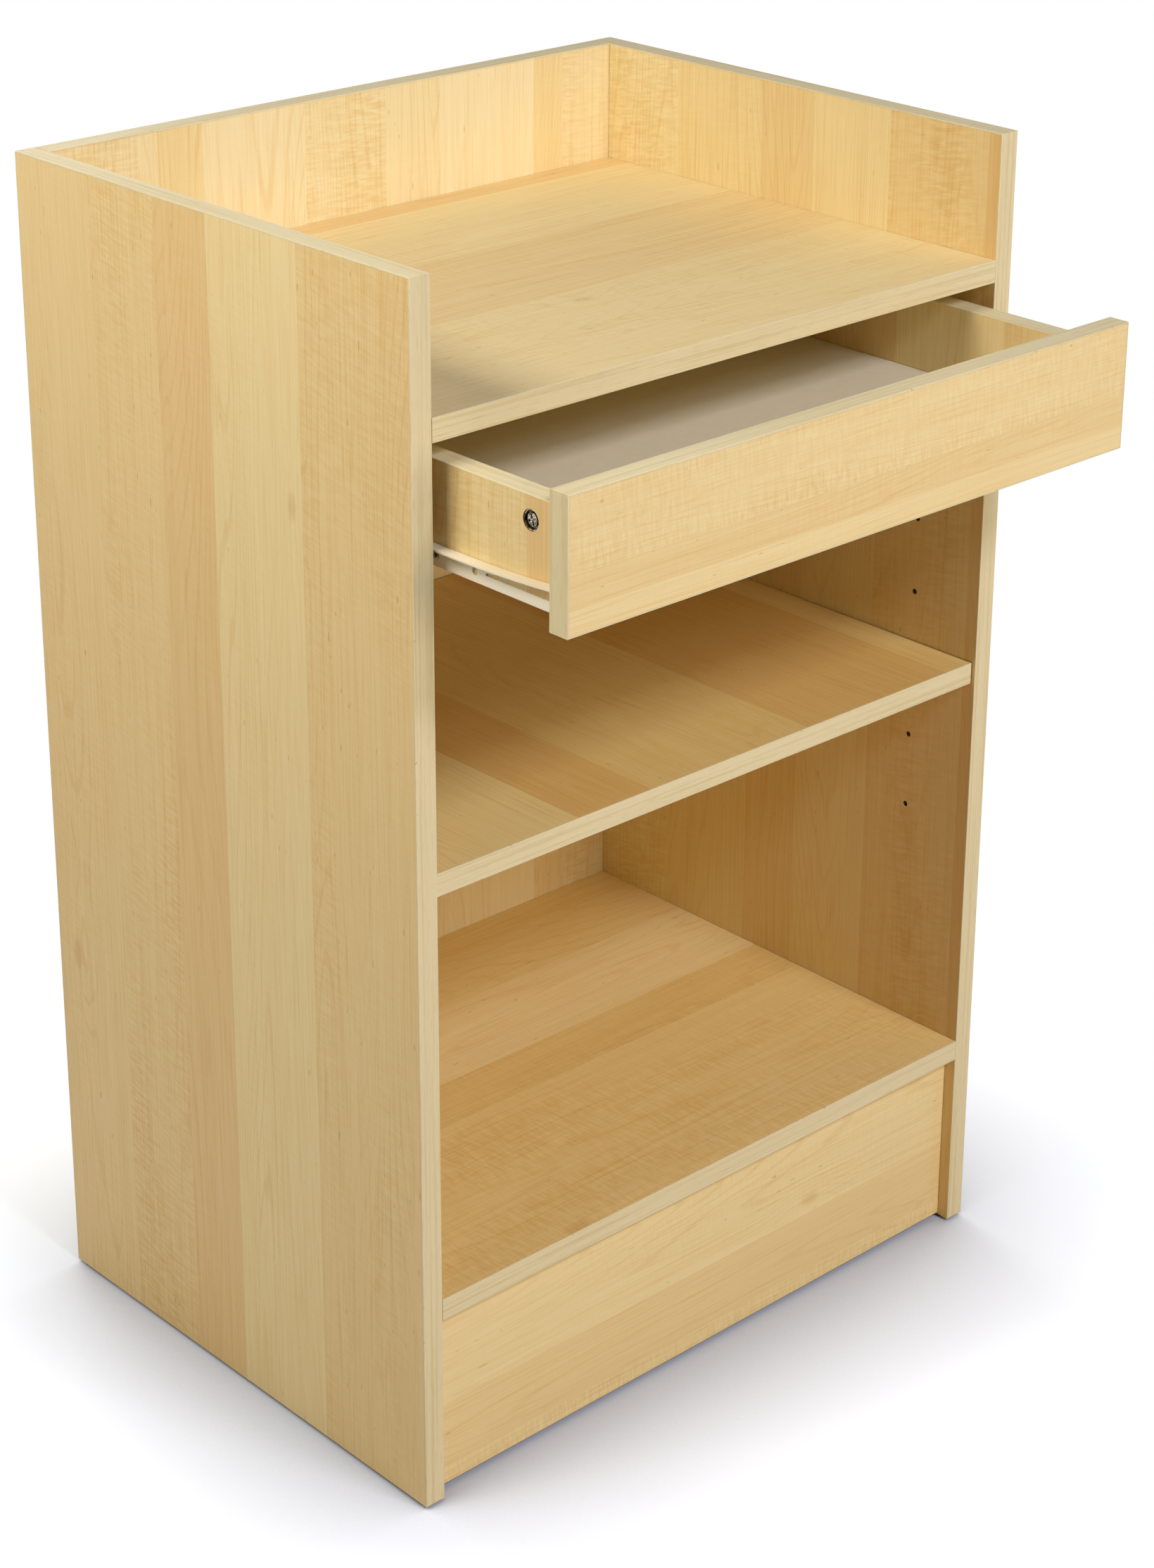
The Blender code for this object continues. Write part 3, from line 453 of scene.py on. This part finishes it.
def painted_hollow_shade(tree, colour, tint, reach, starts, full):
    """Tints a colour in a piece's corners and hollows by how open each place is within a reach, as
    painted shade.
    """
    openness = add(
        tree, "ShaderNodeAmbientOcclusion", {"Distance": reach}, samples=HOLLOW_SAMPLES, only_local=True
    ).outputs["AO"]
    unshaded = add(
        tree, "ShaderNodeMapRange", {"Value": openness, "From Min": starts, "From Max": full}
    ).outputs[0]
    return add(
        tree, "ShaderNodeMix", {"Factor": unshaded, "A": linear(tint), "B": colour}, data_type="RGBA"
    ).outputs["Result"]


def epoxy_coated_steel():
    # Pressed steel with a baked cream epoxy coat: smooth and satin, faintly dimpled, with painted grey
    # shade in its corners. The coat is not metallic.
    finish, tree, shader = new_finish("epoxy-coated pressed steel")
    place = add(tree, "ShaderNodeTexCoord").outputs["Object"]
    dimple = add(
        tree, "ShaderNodeTexNoise", {"Vector": place, "Scale": 1 / (1.6 * MM), "Detail": 1.0}
    ).outputs[0]
    shade = add(
        tree, "ShaderNodeTexNoise", {"Vector": place, "Scale": 1 / (40 * MM), "Detail": 2.0}
    ).outputs[0]
    colour = add(
        tree,
        "ShaderNodeMix",
        {"Factor": shade, "A": linear("F2EACE"), "B": linear("F8F2D9")},
        data_type="RGBA",
    ).outputs["Result"]
    # Painted shade: the coat darkens to grey in its corners and hollows
    colour = painted_hollow_shade(tree, colour, "5A543F", 3 * MM, 0.3, 0.68)
    rough = add(
        tree,
        "ShaderNodeMapRange",
        {"Value": shade, "From Min": 0.3, "From Max": 0.7, "To Min": 0.3, "To Max": 0.42},
    ).outputs[0]
    relief = add(
        tree, "ShaderNodeBump", {"Strength": 0.2, "Distance": 0.1 * MM, "Height": dimple}
    ).outputs[0]
    dress(tree, shader, colour, rough, relief)
    return finish


def cast_zinc():
    # Zinc, die-cast and tumbled: grey metal with a soft broken shine on its rims, a pale mottle that is
    # partly painted glints, and painted shade in its hollows
    finish, tree, shader = new_finish("die-cast zinc")
    place = add(tree, "ShaderNodeTexCoord").outputs["Object"]
    spangle = add(
        tree, "ShaderNodeTexNoise", {"Vector": place, "Scale": 1 / (1.8 * MM), "Detail": 2.0}
    ).outputs[0]
    # The pale and dark mottle of the metal is partly painted glints
    mottle_and_painted_glint = add(
        tree, "ShaderNodeMapRange", {"Value": spangle, "From Min": 0.45, "From Max": 0.62}
    ).outputs[0]
    colour = add(
        tree,
        "ShaderNodeMix",
        {"Factor": mottle_and_painted_glint, "A": linear("6E6550"), "B": linear("E4DCC4")},
        data_type="RGBA",
    ).outputs["Result"]
    # Painted shade: the metal darkens in its hollows
    colour = painted_hollow_shade(tree, colour, "3E3726", 2.5 * MM, 0.45, 0.85)
    rough = add(
        tree,
        "ShaderNodeMapRange",
        {"Value": spangle, "From Min": 0.3, "From Max": 0.7, "To Min": 0.2, "To Max": 0.42},
    ).outputs[0]
    relief = add(
        tree, "ShaderNodeBump", {"Strength": 0.7, "Distance": 0.3 * MM, "Height": spangle}
    ).outputs[0]
    dress(tree, shader, colour, rough, relief)
    shader.inputs["Metallic"].default_value = 1.0
    return finish


def moulded_plastic(name, dark, light, roughness):
    # Plastic, injection-moulded: an even colour with a fine matt grain from the mould
    finish, tree, shader = new_finish(name)
    place = add(tree, "ShaderNodeTexCoord").outputs["Object"]
    grain = add(
        tree, "ShaderNodeTexNoise", {"Vector": place, "Scale": 1 / (0.9 * MM), "Detail": 2.0}
    ).outputs[0]
    colour = add(
        tree,
        "ShaderNodeMix",
        {"Factor": grain, "A": linear(dark), "B": linear(light)},
        data_type="RGBA",
    ).outputs["Result"]
    spread = 0.06
    rough = add(
        tree,
        "ShaderNodeMapRange",
        {
            "Value": grain,
            "From Min": 0.3,
            "From Max": 0.7,
            "To Min": roughness - spread,
            "To Max": roughness + spread,
        },
    ).outputs[0]
    relief = add(
        tree, "ShaderNodeBump", {"Strength": 0.2, "Distance": 0.05 * MM, "Height": grain}
    ).outputs[0]
    dress(tree, shader, colour, rough, relief)
    return finish


# Boards: grain direction, direction across it, and where the planks start in mm. Then, for each plank,
# where it ends in mm, its tone and the strength of its ripple, and for each knot its place across and
# along the grain and its radius in mm.

BOARDS = {
    "left_side_panel": (
        Z,
        Y,
        -162.25,
        [(-44, HONEY, 0.5), (59, PALE, 0.2), (120, TAN, 0.2), (203, HONEY, 1.0), (295, HONEY, 0.3)],
        [(-31, 771, 7), (269, 304, 9)],
    ),
    "right_side_panel": (
        Z,
        Y,
        -162.25,
        [
            (-150, AMBER, 0.0),
            (-49, HONEY, 0.9),
            (33, PALE, 0.1),
            (92, HONEY, 0.1),
            (190, PALE, 0.2),
            (295, CREAM, 0.8),
        ],
        [],
    ),
    "back_panel": (
        Z,
        X,
        -287,
        [
            (-207, CREAM, 0.8),
            (-189, CREAM, 0.1),
            (-147, PALE, 0.1),
            (-47, IVORY, 0.1),
            (37, CREAM, 0.9),
            (96, CREAM, 0.1),
            (198, IVORY, 0.1),
            (233, PALE, 0.2),
            (287, CREAM, 0.8),
        ],
        [],
    ),
    "counter_top": (
        X,
        Y,
        -162.25,
        [(-3, PALE, 0.4), (125, HONEY, 0.4), (251, PALE, 0.3), (277, TAN, 0.0)],
        [(-26, -23, 6)],
    ),
    "bottom_shelf": (
        X,
        Y,
        -162.25,
        [(22, STRAW, 0.8), (76, WHEAT, 0.6), (174, GOLD, 0.2), (277, STRAW, 0.2)],
        [(-157, -146, 8)],
    ),
    "middle_shelf": (
        Y,
        X,
        -287,
        [(-148, STRAW, 0.1), (-75, OCHRE, 0.1), (92, WHEAT, 0.2), (255, OCHRE, 0.2), (287, WHEAT, 0.0)],
        [],
    ),
    "kick_plate": (
        X,
        Z,
        0,
        [(19, PALE, 0.7), (75, HONEY, 0.1), (160, PALE, 0.2)],
        [(88, 122, 7)],
    ),
    "drawer_front": (
        X,
        Z,
        745,
        [(764, PALE, 0.2), (789, HONEY, 0.3), (846, PALE, 1.0)],
        [],
    ),
    "drawer_left_side": (
        Z,
        Y,
        -277,
        [(-243, TAN, 0.1), (-120, PALE, 0.7), (0, PALE, 0.1), (124, HONEY, 0.5)],
        [],
    ),
    "drawer_right_side": (
        Z,
        Y,
        -277,
        [(-200, HONEY, 0.5), (-90, PALE, 0.1), (0, TAN, 0.1), (124, HONEY, 0.5)],
        [],
    ),
    "drawer_back": (
        Z,
        X,
        -257,
        [(-120, HONEY, 0.6), (-40, TAN, 0.1), (90, PALE, 0.1), (257, HONEY, 0.6)],
        [],
    ),
}


def finish_boards():
    for node, board in BOARDS.items():
        put_on(NODES[node], maple_melamine(node, *board))


def finish_hardware():
    """Finishes the other nodes, and gives the zinc and the coated steel for the new pieces."""
    zinc = cast_zinc()
    steel = epoxy_coated_steel()
    nylon = moulded_plastic("moulded nylon", "E4E1D8", "F2F0EA", 0.45)
    glide = moulded_plastic("moulded black polyethylene", "1D1B1A", "322F2C", 0.55)
    hardboard = lacquered_hardboard()
    for name, node in NODES.items():
        if name in BOARDS or name in BANDS:
            continue
        if name == "drawer_bottom":
            finish = hardboard
        elif name.endswith("_rail"):
            finish = steel
        elif name.endswith("_roller"):
            finish = nylon
        elif name.startswith("floor_glide"):
            finish = glide
        else:
            finish = zinc
        put_on(node, finish)
    return zinc, steel


# New pieces


TOUCHING = 1e-6
FACING = 0.9
SMOOTH_UP_TO = math.radians(40)


def block(name, low, high):
    """A cube added at its size and place, with its place in its mesh."""
    low, high = Vector(low), Vector(high)
    bpy.ops.object.select_all(action="DESELECT")
    bpy.ops.mesh.primitive_cube_add(size=1.0, location=(low + high) / 2, scale=high - low)
    made = bpy.context.object
    made.name = made.data.name = name
    bpy.ops.object.transform_apply(location=True, rotation=True, scale=True)
    return made


def round_edges(piece, wanted, radius, steps=3):
    """Bevels the edges that are wanted by their middle point."""
    bpy.context.view_layer.objects.active = piece
    bpy.ops.object.mode_set(mode="EDIT")
    bpy.ops.mesh.select_mode(type="EDGE")
    bpy.ops.mesh.select_all(action="DESELECT")
    mesh = bmesh.from_edit_mesh(piece.data)
    for edge in mesh.edges:
        edge.select_set(wanted((edge.verts[0].co + edge.verts[1].co) / 2))
    bmesh.update_edit_mesh(piece.data)
    bpy.ops.mesh.bevel(offset=radius, segments=steps, profile=0.5, clamp_overlap=True)
    bpy.ops.object.mode_set(mode="OBJECT")


def cut_out(piece, tool):
    """Cuts a tool out of a piece, and removes the tool."""
    bpy.ops.object.select_all(action="DESELECT")
    bpy.context.view_layer.objects.active = piece
    boolean = piece.modifiers.new("cut", "BOOLEAN")
    boolean.solver = "EXACT"
    boolean.object = tool
    bpy.ops.object.modifier_apply(modifier=boolean.name)
    bpy.data.objects.remove(tool)


def settle(piece, finish, body, stands_for=None):
    """Gives a new piece its finish, smooth shading and body, and hides the node that it stands for."""
    put_on(piece, finish)
    bpy.ops.object.select_all(action="DESELECT")
    piece.select_set(True)
    bpy.context.view_layer.objects.active = piece
    bpy.ops.object.shade_smooth_by_angle(angle=SMOOTH_UP_TO)
    flat_faces = piece.modifiers.new("flat faces stay flat", "WEIGHTED_NORMAL")
    flat_faces.keep_sharp = True
    bpy.ops.object.modifier_apply(modifier=flat_faces.name)
    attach(piece, body)
    if stands_for:
        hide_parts(stands_for)


BAND_ROUND = 0.35 * MM
BAND = 1.0 * MM
PAST = 3.0 * MM

# Edge bands: body, direction across the band, and the sides of the board that are banded, as an axis
# and whether it is the low or the high side
BANDS = {
    "left_side_edge_band": ("carcass", X, ((Y, 0), (Z, 1), (Y, 1))),
    "right_side_edge_band": ("carcass", X, ((Y, 0), (Z, 1), (Y, 1))),
    "back_panel_edge_band": ("carcass", Y, ((Z, 1),)),
    "counter_top_edge_band": ("carcass", Z, ((Y, 0),)),
    "bottom_shelf_edge_band": ("carcass", Z, ((Y, 0),)),
    "middle_shelf_edge_band": ("middle_shelf", Z, ((Y, 0),)),
    "drawer_front_edge_band": ("drawer", Y, ((X, 0), (X, 1), (Z, 0), (Z, 1))),
}


def edge_bands():
    """Edge bands with rounded borders in place of the square ones."""
    for node, (body, across, sides) in BANDS.items():
        low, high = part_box(node)
        corners = (low, high)
        piece = block(f"{node}_rounded", low, high)

        def on_border(middle):
            along_side = any(abs(middle[axis] - corners[side][axis]) < TOUCHING for axis, side in sides)
            return along_side and any(abs(middle[across] - end[across]) < TOUCHING for end in corners)

        round_edges(piece, on_border, BAND_ROUND)
        if len(sides) > 1:
            core_low, core_high = low.copy(), high.copy()
            core_low[across] -= PAST
            core_high[across] += PAST
            for axis in (X, Y, Z):
                if axis == across:
                    continue
                core_low[axis] += BAND if (axis, 0) in sides else -PAST
                core_high[axis] += -BAND if (axis, 1) in sides else PAST
            cut_out(piece, block(f"{node}_core", core_low, core_high))
        settle(piece, maple_edge_band(node, across, low, high), body, node)


# Thin bands on the drawer box: thickness, rounding, and their clearance above the edge and at the ends
BOX_BAND = 0.7 * MM
BOX_BAND_ROUND = 0.5 * MM
BOX_BAND_LIFT = 0.02 * MM
BOX_BAND_END = 0.3 * MM


def drawer_box_bands():
    """Thin bands along the top edges of the drawer's sides and back."""
    for node, across in (("drawer_left_side", X), ("drawer_right_side", X), ("drawer_back", Y)):
        low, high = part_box(node)
        if node == "drawer_back":
            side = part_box("drawer_right_side")[0].x
            low.x, high.x = -side + BOX_BAND_END, side - BOX_BAND_END
        else:
            low.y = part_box("drawer_front")[1].y + BOX_BAND_END
        low.z, high.z = high.z + BOX_BAND_LIFT, high.z + BOX_BAND
        piece = block(f"{node}_top_band", low, high)
        round_edges(piece, lambda middle: abs(middle.z - high.z) < TOUCHING, BOX_BAND_ROUND)
        settle(piece, maple_edge_band(node, across, low, high), "drawer")


# Noses of the drawer rails: how far from the middle they start and end, their front and rear behind the
# rail's front, their top and foot below the rail's top, and the taper of the outer foot
NOSE_INNER, NOSE_OUTER = 276.2 * MM, 284.4 * MM
NOSE_FRONT, NOSE_REAR = 0.05 * MM, 0.95 * MM
NOSE_TOP, NOSE_FOOT = 0.9 * MM, 4.2 * MM
NOSE_TAPER, NOSE_STEPS = 2.4 * MM, 2


def rail_noses(finish):
    """The small turned-down end of each drawer rail's top flange, tapered towards the drawer."""
    for word, side in (("left", -1.0), ("right", 1.0)):
        low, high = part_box(f"{word}_drawer_rail")
        inner, outer = side * NOSE_INNER, side * NOSE_OUTER
        foot = high.z - NOSE_FOOT
        piece = block(
            f"{word}_drawer_rail_nose",
            (min(inner, outer), low.y + NOSE_FRONT, foot),
            (max(inner, outer), low.y + NOSE_REAR, high.z - NOSE_TOP),
        )

        def at_outer_foot(middle):
            return abs(middle.z - foot) < TOUCHING and abs(middle.x - outer) < TOUCHING

        round_edges(piece, at_outer_foot, NOSE_TAPER, NOSE_STEPS)
        settle(piece, finish, "drawer")


CAM_RADIUS = 7.48 * MM
CAM_SIDES = 48
CAM_SUNK = 1.0 * MM

# The cam lock's face from its rim inwards: the width of each ring and how far it rises, in mm
CAM_RINGS = ((0.7, 0.0), (0.3, -2.0), (1.3, 0.0), (0.4, 1.5))

# Each bar of its cross, and how far the cross is turned
CROSS_BAR = (8.4 * MM, 1.5 * MM, 2.4 * MM)
CROSS_TURN = 0.35


def cam_locks(finish):
    """Zinc cam locks with a raised rim, a dished face and a pressed cross, in place of the plain ones."""
    for node in NODES:
        if not node.endswith("cam_lock"):
            continue
        low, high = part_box(node)
        middle = (low + high) / 2
        body = "drawer" if node.startswith("drawer") else "carcass"
        if body == "drawer":
            out = Vector((1.0 if middle.x > 0 else -1.0, 0.0, 0.0))
        else:
            out = Vector((0.0, 0.0, -1.0))
        depth = abs((high - low).dot(out)) - CAM_SUNK
        middle -= out * CAM_SUNK / 2
        turn = out.to_track_quat("Z", "Y").to_euler()
        bpy.ops.object.select_all(action="DESELECT")
        bpy.ops.mesh.primitive_cylinder_add(
            vertices=CAM_SIDES, radius=CAM_RADIUS, depth=depth, location=middle, rotation=turn
        )
        piece = bpy.context.object
        piece.name = piece.data.name = f"{node}_dished"
        bpy.ops.object.transform_apply(location=True, rotation=True, scale=True)
        bpy.ops.object.mode_set(mode="EDIT")
        bpy.ops.mesh.select_mode(type="FACE")
        bpy.ops.mesh.select_all(action="DESELECT")
        mesh = bmesh.from_edit_mesh(piece.data)
        for side in mesh.faces:
            side.select_set(side.normal.dot(out) > FACING)
        bmesh.update_edit_mesh(piece.data)
        for wide, rise in CAM_RINGS:
            bpy.ops.mesh.inset(thickness=wide * MM, depth=rise * MM)
        bpy.ops.object.mode_set(mode="OBJECT")
        for turned in (CROSS_TURN, CROSS_TURN + math.pi / 2):
            bpy.ops.mesh.primitive_cube_add(size=1.0, location=middle + out * depth / 2)
            bar = bpy.context.object
            bar.rotation_euler = (turn.to_matrix() @ Matrix.Rotation(turned, 3, "Z")).to_euler()
            bar.scale = CROSS_BAR
            bpy.ops.object.transform_apply(location=True, rotation=True, scale=True)
            cut_out(piece, bar)
        settle(piece, finish, body, node)


# Stage, light and camera


WHITE = "FFFFFF"
FLOOR_SIZE = 30.0
FLOOR_BELOW = 0.05 * MM
FLOOR_FADES_FROM, FLOOR_FADES_TO = 0.5, 1.1
FLOOR_SHADE_REACH = 0.22
WORLD_LIGHT, WORLD_MIRRORED = 0.06, 0.5

# Softboxes: name, place and aim in metres, size in metres, power in watts and colour
SOFTBOXES = (
    ("key", (-0.3, -3.4, 3.6), (0.0, -0.05, 0.6), (0.7, 0.7), 73.0, "EEEFFF"),
    ("second key", (0.3, -2.6, 2.4), (0.0, -0.05, 0.6), (0.5, 0.5), 19.9, "E5EAFF"),
    ("near left", (-1.2, 0.0, 1.9), (0.0, -0.05, 0.6), (0.5, 0.5), 8.8, "FFF3E7"),
    ("high left", (-2.0, 0.2, 2.6), (0.0, -0.05, 0.6), (0.8, 0.8), 15.8, "FFF8F2"),
    ("rear left", (-1.9, 0.9, 1.5), (0.0, -0.05, 0.6), (0.8, 0.8), 8.5, "FFFEFF"),
    ("low front", (0.4, -3.0, 1.2), (0.0, -0.05, 0.4), (1.0, 1.0), 25.0, "FFE8D0"),
    ("rear", (0.7, 2.8, 0.9), (0.0, 0.1, 0.5), (1.5, 0.9), 42.0, "FFFAF2"),
    ("right", (2.7, 0.3, 0.85), (0.0, 0.1, 0.5), (1.2, 0.9), 15.0, "FFF6E8"),
)

# The camera's place in metres, its turn in degrees, its lens and sensor in mm, and its lens shift
CAMERA_PLACE = (-1.6238, -1.7478, 1.5608)
CAMERA_TURN = (69.1688, -0.2454, -42.7217)
CAMERA_LENS, CAMERA_SENSOR = 75.4505, 36.0
CAMERA_SHIFT = -0.15


def view_rays(tree):
    """Which rays come straight from the camera, and which come by a mirror or through glass."""
    path = add(tree, "ShaderNodeLightPath").outputs
    mirrored = add(
        tree,
        "ShaderNodeMath",
        {0: path["Is Transmission Ray"], 1: path["Is Glossy Ray"]},
        operation="MAXIMUM",
    ).outputs[0]
    return path["Is Camera Ray"], mirrored


def studio_floor():
    """A pale floor that keeps the object's shadow, has painted shade near it, and fades to white away
    from it.
    """
    bpy.ops.object.select_all(action="DESELECT")
    bpy.ops.mesh.primitive_plane_add(size=FLOOR_SIZE, location=(0.0, 0.0, -FLOOR_BELOW))
    floor = bpy.context.object
    floor.name = "studio_floor"
    finish = bpy.data.materials.new("white studio floor")
    finish.use_nodes = True
    tree = finish.node_tree
    tree.nodes.clear()
    place = add(tree, "ShaderNodeTexCoord").outputs["Object"]
    gap = add(tree, "ShaderNodeVectorMath", {0: place}, operation="LENGTH").outputs[1]
    far = add(
        tree,
        "ShaderNodeMapRange",
        {"Value": gap, "From Min": FLOOR_FADES_FROM, "From Max": FLOOR_FADES_TO},
        interpolation_type="SMOOTHSTEP",
    ).outputs[0]
    straight, mirrored = view_rays(tree)
    seen = add(tree, "ShaderNodeMath", {0: mirrored, 1: straight}, operation="MAXIMUM").outputs[0]
    lighting = add(tree, "ShaderNodeBsdfDiffuse", {"Color": linear("C0B8AC")}).outputs[0]
    shaded = add(tree, "ShaderNodeBsdfDiffuse", {"Color": linear("C6CDD6")}).outputs[0]
    # Painted contact shadow: the floor's glow dims where the object encloses it
    openness = add(
        tree, "ShaderNodeAmbientOcclusion", {"Distance": FLOOR_SHADE_REACH}, samples=HOLLOW_SAMPLES
    ).outputs["AO"]
    painted_shade_glow = add(
        tree, "ShaderNodeMapRange", {"Value": openness, "From Min": 0.45, "To Max": 0.62}
    ).outputs[0]
    glow = add(tree, "ShaderNodeEmission", {"Color": linear(WHITE), "Strength": painted_shade_glow}).outputs[0]
    white = add(tree, "ShaderNodeEmission", {"Color": linear(WHITE), "Strength": 1.0}).outputs[0]
    near = add(tree, "ShaderNodeAddShader", {0: shaded, 1: glow}).outputs[0]
    fading = add(tree, "ShaderNodeMixShader", {0: far, 1: near, 2: white}).outputs[0]
    shown = add(tree, "ShaderNodeMixShader", {0: seen, 1: lighting, 2: fading}).outputs[0]
    add(tree, "ShaderNodeOutputMaterial", {"Surface": shown})
    floor.data.materials.append(finish)


def white_surround():
    """A world that is white to the camera and grey in mirrors, and lights the object only faintly."""
    world = bpy.data.worlds.new("white surround")
    bpy.context.scene.world = world
    world.use_nodes = True
    tree = world.node_tree
    tree.nodes.clear()
    straight, mirrored = view_rays(tree)
    strength = add(
        tree,
        "ShaderNodeMapRange",
        {"Value": mirrored, "To Min": WORLD_LIGHT, "To Max": WORLD_MIRRORED},
    ).outputs[0]
    strength = add(tree, "ShaderNodeMath", {0: strength, 1: straight}, operation="MAXIMUM").outputs[0]
    sky = add(tree, "ShaderNodeBackground", {"Color": linear(WHITE), "Strength": strength}).outputs[0]
    add(tree, "ShaderNodeOutputWorld", {"Surface": sky})


def softbox(name, place, aim, size, power, colour):
    lamp = bpy.data.lights.new(name, "AREA")
    lamp.shape = "RECTANGLE"
    lamp.size, lamp.size_y = size
    lamp.energy = power
    lamp.color = linear(colour)[:3]
    held = bpy.data.objects.new(name, lamp)
    bpy.context.scene.collection.objects.link(held)
    held.location = place
    held.rotation_euler = (Vector(aim) - Vector(place)).to_track_quat("-Z", "Y").to_euler()


def studio():
    """A white floor and surround, and soft lamps that are strongest from the upper front."""
    studio_floor()
    white_surround()
    for lamp in SOFTBOXES:
        softbox(*lamp)


def camera():
    """The photograph's viewpoint, with its vertical lines held nearly upright by the lens shift."""
    lens = bpy.data.cameras.new("camera")
    lens.lens = CAMERA_LENS
    lens.sensor_width = CAMERA_SENSOR
    lens.shift_y = CAMERA_SHIFT
    held = bpy.data.objects.new("camera", lens)
    bpy.context.scene.collection.objects.link(held)
    held.location = CAMERA_PLACE
    held.rotation_euler = [math.radians(turn) for turn in CAMERA_TURN]
    bpy.context.scene.camera = held


bpy.context.scene.view_settings.view_transform = "Standard"
camera()
studio()
finish_boards()
ZINC, STEEL = finish_hardware()
edge_bands()
drawer_box_bands()
rail_noses(STEEL)
cam_locks(ZINC)
